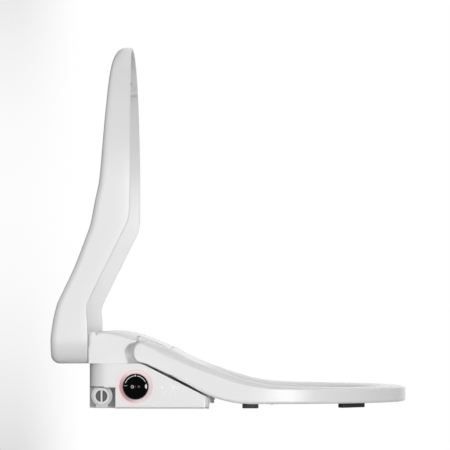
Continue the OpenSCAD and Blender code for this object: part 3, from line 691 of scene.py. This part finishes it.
def casing_material():
    """White gloss, with the ring's light painted round the knob as a pink glow and tint, and painted shade
    in the drain bay.
    """
    n = plastic("casing_gloss_painted_glow_and_shade", WHITE, 0.2, 700.0, 0.000004)
    place = from_centre(n, KNOB)
    side = inside(n, place.y, PANEL_Y - 0.5, PANEL_Y + 1.2)
    # Painted glow: pink emission and tint round the knob, deeper on the lamp's side, stand in for the ring's
    # light on the casing.
    painted_ring_glow = n.times(n.math("POWER", n.remap(place.r, 1.0, 0.0, 24 * MM, 37 * MM), 1.7), side)
    painted_lit_side = n.mix(lit_side(n, place), [0.87, 0.8, 0.805], [0.87, 0.7, 0.71])
    # Painted shade: the drain bay's recess is painted dark grey.
    painted_bay_shade = n.times(n.math("LESS_THAN", place.x, (BAY_X - KNOB[0]) * MM),
                  n.math("LESS_THAN", place.z, (BAY_Z - KNOB[1]) * MM),
                  inside(n, place.y, PANEL_Y + 1.2, PANEL_Y + 60))
    n.set(Base_Color=n.mix(painted_bay_shade, n.mix(painted_ring_glow, WHITE, painted_lit_side), [0.3, 0.3, 0.3]))
    n.set(Emission_Color=(1.0, 0.28, 0.3, 1.0), Emission_Strength=n.times(painted_ring_glow, 0.09))
    return n


def cover_material():
    """White gloss; the floor of the pocket beside the seat's arm has painted shade, darkest at its rear and
    gone before its middle.
    """
    n = plastic("white_gloss_painted_pocket_shade", WHITE, 0.2, 700.0, 0.000004)
    place = from_centre(n, POCKET)
    pocket = n.times(n.math("LESS_THAN", place.r, (POCKET_R + 0.2) * MM),
                     inside(n, place.y, -CENTRE_HW - 1, CENTRE_HW + 1))
    # Painted shade on the pocket's floor, fading from its rear edge forwards.
    painted_pocket_shade = n.remap(place.x, 0.85, 0.0, -18 * MM, -7 * MM)
    n.set(Base_Color=n.mix(n.times(pocket, painted_pocket_shade), WHITE, [0.52, 0.52, 0.52]))
    return n


def ring_material():
    """The translucent ring round the knob, lit from one side."""
    n = plastic("light_ring", [0.85, 0.62, 0.63], 0.3, 900.0, 0.00001)
    painted_lit_side = lit_side(n, from_centre(n, KNOB))
    # Painted light: the ring's lamp side is painted a deeper pink than the rest.
    n.set(Base_Color=n.mix(painted_lit_side, [0.83, 0.75, 0.755], [0.55, 0.34, 0.37]))
    n.set(Emission_Color=(1.0, 0.42, 0.46, 1.0), Emission_Strength=0.12)
    return n


def plug_material():
    """Light plastic, with the well on both sides of its finger web painted dark as shade."""
    n = plastic("plug_light_painted_well_shade", PLUG, 0.3, 900.0, 0.00001)
    place = from_centre(n, DRAIN)
    beside_web = n.math("SUBTRACT", 1.0, inside(n, place.x, -1.25, 1.25))
    # Painted shade: the plug's well beside the web is painted near black.
    painted_well_shade = n.times(n.math("LESS_THAN", place.r, 9.3 * MM), inside(n, place.y, PANEL_Y + 3.6, PANEL_Y + 12))
    n.set(Base_Color=n.mix(n.times(painted_well_shade, beside_web), PLUG, [0.07, 0.07, 0.075]))
    return n


mats["casing"] = casing_material()
mats["white"] = cover_material()
mats["ring"] = ring_material()
mats["plug"] = plug_material()
mats["lens"].set(Emission_Color=(1.0, 1.0, 1.0, 1.0), Emission_Strength=0.16)
# Painted glow: the faint printed marks get a little emission, though they are no lamp.
mats["mark"].set(Emission_Color=(1.0, 0.97, 0.97, 1.0), Emission_Strength=0.02)

NODE_LOOK = {
    "base_plate": "light_grey", "lower_casing": "casing", "hinge_frame": "dark", "mounting_plate": "grey",
    "base_pads": "rubber", "casing_screws": "steel", "drain_port": "port", "drain_hose": "dark",
    "water_inlet": "light_grey", "inlet_hose": "dark", "solenoid_valve": "light_grey",
    "heater_tank": "tank", "tank_hose": "dark", "water_pump": "dark", "nozzle_hose": "dark",
    "nozzle_housing": "light_grey", "nozzle_motor": "steel", "power_board": "board",
    "cord_gland": "rubber", "control_board": "board", "rotary_encoder": "steel",
    "knob_light_ring": "ring", "indicator_lenses": "lens", "seat_hinge_pins": "steel",
    "seat_damper": "dark", "lid_hinge_pins": "steel", "lid_damper": "dark",
    "lid_hinge_arms": "liner", "lid_bumpers": "bumper", "lid_bushes": "dark", "seat_base": "liner",
    "seat_heater": "foil", "seat_bushes": "dark", "seat_bumpers_rear": "rubber",
    "seat_bumpers_front": "rubber", "seat_screws": "steel", "knob_shaft": "steel",
    "control_knob": "knob", "knob_face": "glass", "nozzle_tube": "stainless",
    "nozzle_carriage": "light_grey", "nozzle_cover": "cover_grey", "drive_pinion": "light_grey",
    "drain_plug": "plug", "drain_plug_seal": "rubber", "release_button": "grey",
}
FINE_BEVEL = 0.25
BEVEL = {"lower_casing": 0.6, "base_plate": 0.5, "seat_bumpers_rear": 1.4, "seat_bumpers_front": 1.4,
         "nozzle_cover": 0.8, "drain_plug": 0.5, "drain_port": 0.5, "control_knob": 0.4,
         "release_button": 0.8, "lid_hinge_arms": 1.0, "hinge_frame": 0.4}


def paint(obj, look):
    obj.data.materials.clear()
    obj.data.materials.append(mats[look].mat)


def weigh_normals(obj):
    obj.modifiers.new("normals", "WEIGHTED_NORMAL").weight = 60


def round_edges(obj, width):
    """Welds a CAD mesh's seams and rounds its sharp edges, without touching the mesh itself."""
    obj.data.shade_smooth()
    if "custom_normal" in obj.data.attributes:
        obj.data.attributes.remove(obj.data.attributes["custom_normal"])
    weld = obj.modifiers.new("weld", "WELD")
    weld.merge_threshold = 1e-6
    flat = obj.modifiers.new("flat", "DECIMATE")
    flat.decimate_type = "DISSOLVE"
    flat.angle_limit = math.radians(0.6)
    bevel = obj.modifiers.new("bevel", "BEVEL")
    bevel.width = width * MM
    bevel.segments = 3
    bevel.limit_method = "ANGLE"
    bevel.angle_limit = math.radians(32.0)
    bevel.use_clamp_overlap = True
    bevel.miter_outer = "MITER_ARC"
    weigh_normals(obj)


for name, look in NODE_LOOK.items():
    paint(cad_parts[name], look)
    round_edges(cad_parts[name], BEVEL.get(name, FINE_BEVEL))
for obj, look in ((seat, "seat"), (lid, "lid"), (liner, "liner"), (cover, "white")):
    paint(obj, look)
for obj in (seat, cover):
    weigh_normals(obj)

# ---------------------------------------------------------------- printed marks

FACE_Y = PANEL_Y - KNOB_DEPTH


def patch(name, outline, thick, y, body, look):
    """A printed area on the control side, raised by its ink."""
    n = len(outline)
    verts = [(x, y, z) for x, z in outline] + [(x, y - thick, z) for x, z in outline]
    faces = tube_faces(2, n, False) + [tuple(range(n)), tuple(reversed(range(n, 2 * n)))]
    obj = make(name, verts, faces, body, "lens")
    obj.data.shade_flat()
    paint(obj, look)


def stroke(points, width):
    """The outline of a line of even width along points."""
    left, right = [], []
    for i, p in enumerate(points):
        a, b = Vector(points[max(i - 1, 0)]), Vector(points[min(i + 1, len(points) - 1)])
        t = (b - a).normalized()
        s = Vector((-t.y, t.x)) * width / 2
        left.append((p[0] + s.x, p[1] + s.y))
        right.append((p[0] - s.x, p[1] - s.y))
    return left + right[::-1]


def on_knob(*offsets):
    """Points given by their offsets from the knob's axis."""
    return [(KNOB[0] + x, KNOB[1] + z) for x, z in offsets]


def arc(centre, r, a0, a1, n=48):
    """Points round a centre given by its offset from the knob's axis, between two angles in degrees."""
    angles = [math.radians(mix(a0, a1, i / n)) for i in range(n + 1)]
    return on_knob(*((centre[0] + r * math.cos(a), centre[1] + r * math.sin(a)) for a in angles))


for mark, outline, look in (
        ("dial_scale_left", stroke(arc((0, 0), 16.4, 160, 98), 0.75), "print"),
        ("dial_scale_right", stroke(arc((0, 0), 16.4, 82, 25), 0.75), "print"),
        ("dial_pointer", stroke(on_knob((-0.6, 15.7), (-0.6, 18.0)), 1.6), "print"),
        ("dial_tick_left", stroke(on_knob((-17.8, 1.9), (-15.4, 1.2), (-12.8, 1.6)), 0.8), "print_mid"),
        ("dial_mark_right", on_knob((14.4, 0.4), (15.0, 2.8), (16.4, 4.4), (17.3, 2.4), (17.6, 0.4),
                                    (17.3, -1.8), (16.4, -3.8), (15.0, -2.2)), "print"),
        ("dial_icon_ring", stroke(arc((-4.9, -0.2), 1.9, 0, 350, 40), 0.75), "print"),
        ("dial_icon_slash", stroke(on_knob((-0.9, -1.8), (0.5, 1.9)), 0.5), "print_grey"),
        ("dial_icon_dot", arc((4.9, 0), 1.7, 0, 345, 23), "print_grey")):
    patch(mark, outline, 0.06, FACE_Y, "knob", look)
for mark, points in (
        ("mark_bar_rear", [(71.2, 18), (71.2, 28)]),
        ("mark_bar_front", [(75.4, 18), (75.4, 28)]),
        ("mark_arch", [(83.4, 18), (83.4, 24.5), (84.6, 27.4), (87.2, 28.4), (89.8, 27.4), (91, 24.5),
                       (91, 18)])):
    patch(mark, stroke(points, 1.1), 0.04, PANEL_Y, "main_unit", "mark")

# ---------------------------------------------------------------- studio

FLOOR_Z = -0.34
FLOOR_R = 2.8
PAPER_Z = 0.059

scene.view_settings.view_transform = "Standard"
scene.view_settings.look = "None"


def pale_floor():
    """A pale disc that fades out at its edge and throws no light or shadow on the object."""
    mesh = bpy.data.meshes.new("floor")
    angles = [2 * math.pi * i / 96 for i in range(96)]
    points = [(FLOOR_R * math.cos(a), FLOOR_R * math.sin(a), FLOOR_Z) for a in angles]
    mesh.from_pydata(points, [], [tuple(range(len(points)))])
    obj = bpy.data.objects.new("floor", mesh)
    scene.collection.objects.link(obj)
    obj.visible_diffuse = False
    obj.visible_glossy = False
    obj.visible_shadow = False
    n = Nodes("floor_pale")
    n.set(Base_Color=(0.9, 0.9, 0.9, 1.0), Roughness=0.9, Emission_Color=(1.0, 1.0, 1.0, 1.0),
          Emission_Strength=0.3)
    reach = n.add("ShaderNodeVectorMath", {0: n.coords}, operation="LENGTH").outputs["Value"]
    n.set(Alpha=n.remap(reach, 1.0, 0.0, 1.2, 2.75))
    mesh.materials.append(n.mat)


pale_floor()

world = bpy.data.worlds.new("studio")
scene.world = world
world.use_nodes = True
wt = world.node_tree
background = wt.nodes["Background"]
axes = wt.nodes.new("ShaderNodeSeparateXYZ")
wt.links.new(wt.nodes.new("ShaderNodeTexCoord").outputs["Generated"], axes.inputs[0])


def wmath(op, a, b=0.0, clamp=False):
    n = wt.nodes.new("ShaderNodeMath")
    n.operation = op
    n.use_clamp = clamp
    for k, v in enumerate((a, b)):
        if isinstance(v, bpy.types.NodeSocket):
            wt.links.new(v, n.inputs[k])
        else:
            n.inputs[k].default_value = v
    return n.outputs[0]


def wstep(value, a, b):
    """Smoothly 0 to 1 as value goes from a to b."""
    n = wt.nodes.new("ShaderNodeMapRange")
    n.interpolation_type = "SMOOTHSTEP"
    wt.links.new(value, n.inputs["Value"])
    n.inputs["From Min"].default_value = a
    n.inputs["From Max"].default_value = b
    return n.outputs["Result"]


def both(*parts):
    out = parts[0]
    for p in parts[1:]:
        out = wmath("MULTIPLY", out, p)
    return out


def shade(level, amount, where):
    """Takes a share of the light away from one part of the sky."""
    return wmath("MULTIPLY", level, wmath("SUBTRACT", 1.0, both(where, amount)))


def glow(level, amount, where):
    """Adds light to one part of the sky."""
    return wmath("ADD", level, both(where, amount))


# The camera is on the -Y side, and the object's front is to +X
wx, wy, wz = axes.outputs["X"], axes.outputs["Y"], axes.outputs["Z"]
far_side = wstep(wy, 0.0, 0.2)
near_side = wstep(wy, 0.0, -0.2)
tall = wmath("ABSOLUTE", wz)
around = wstep(tall, 0.65, 0.4)
key = wmath("ADD", both(wx, -0.135), wmath("ADD", both(wy, -0.965), both(wz, 0.222)))

# An even sky, a key light behind the camera and a bright upright strip beside it, towards the front
level = glow(0.46, 2.08, wstep(key, 0.71, 0.88))
strip = both(wstep(wx, 0.11, 0.22), wstep(wx, 0.45, 0.33), wstep(tall, 0.5, 0.3), near_side)
level = glow(level, 7.8, strip)
# Dimmer overhead, in front of the object, behind it, round its far rear side and below
level = shade(level, 0.94, both(wstep(wz, 0.2, 0.55), wstep(wy, 0.35, -0.05)))
level = shade(level, 0.85, wstep(wx, 0.5, 0.85))
level = shade(level, 0.65, both(wstep(wx, -0.4, -0.75), around))
level = shade(level, 0.95, both(wstep(wx, -0.13, -0.35), around, far_side))
level = shade(level, 0.94, wstep(wz, -0.02, -0.3))
# Fill from the far front side, from high on the far rear side and from high at the rear
level = glow(level, 0.65, both(wstep(wx, -0.14, 0.0), far_side))
level = glow(level, 0.24, both(far_side, wstep(wx, -0.05, -0.4), wstep(wz, 0.3, 0.5)))
level = glow(level, 0.31, both(wstep(wx, -0.3, -0.55), wstep(wz, 0.15, 0.45)))

# What the camera sees behind the object: white paper that falls off a little on one side
off_axis = wmath("SUBTRACT", wz, PAPER_Z)
falloff = wmath("ADD", 0.026, both(off_axis, off_axis, 16.9), True)
paper = wmath("SUBTRACT", 1.0, both(falloff, wstep(wx, -0.065, -0.1), wstep(wy, 0.9, 0.95)))
seen = wt.nodes.new("ShaderNodeLightPath").outputs["Is Camera Ray"]
level = wmath("ADD", both(level, wmath("SUBTRACT", 1.0, seen)), both(paper, seen))
wt.links.new(level, background.inputs["Strength"])
background.inputs["Color"].default_value = (1.0, 1.0, 1.0, 1.0)
